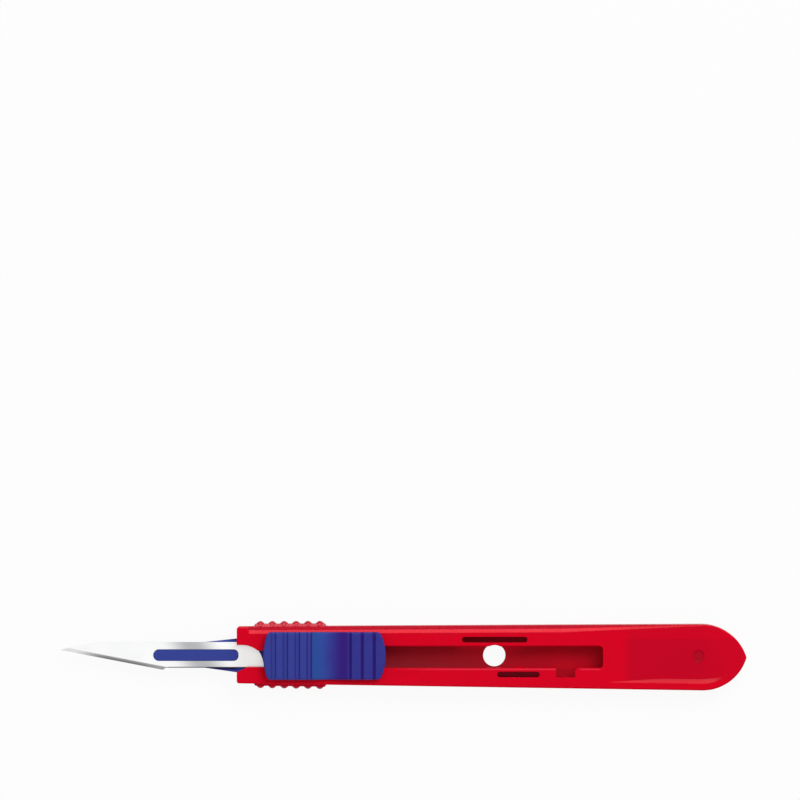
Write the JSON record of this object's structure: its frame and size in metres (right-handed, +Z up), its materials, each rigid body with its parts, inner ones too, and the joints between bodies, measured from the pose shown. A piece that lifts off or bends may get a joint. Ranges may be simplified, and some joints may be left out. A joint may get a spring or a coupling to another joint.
{
  "type": "disposable scalpel",
  "caption": "Retractable disposable scalpel: red moulded handle with side grips and a long track, blue ribbed thumb slider, and a slotted steel blade that the slider draws in.",
  "frame": {"origin": "middle of the whole part in X and Y with the blade out, on the underside of the handle", "axes": "+X along the track from the blade's point to the handle's tail, +Y across towards the blade's spine, +Z up out of the track"},
  "size_m": [0.1372, 0.0138, 0.0084],
  "materials": {
    "handle_plastic": "glossy moulded",
    "slider_plastic": "satin moulded",
    "blade_steel": "satin ground"
  },
  "bodies": {
    "handle": {"handle": "handle_plastic"},
    "slider": {"slider": "slider_plastic", "blade": "blade_steel"}
  },
  "joints": [
    {"name": "blade_slide", "type": "slide", "parent": "handle", "child": "slider", "axis": [1, 0, 0], "range_m": [0, 0.0439]}
  ]
}
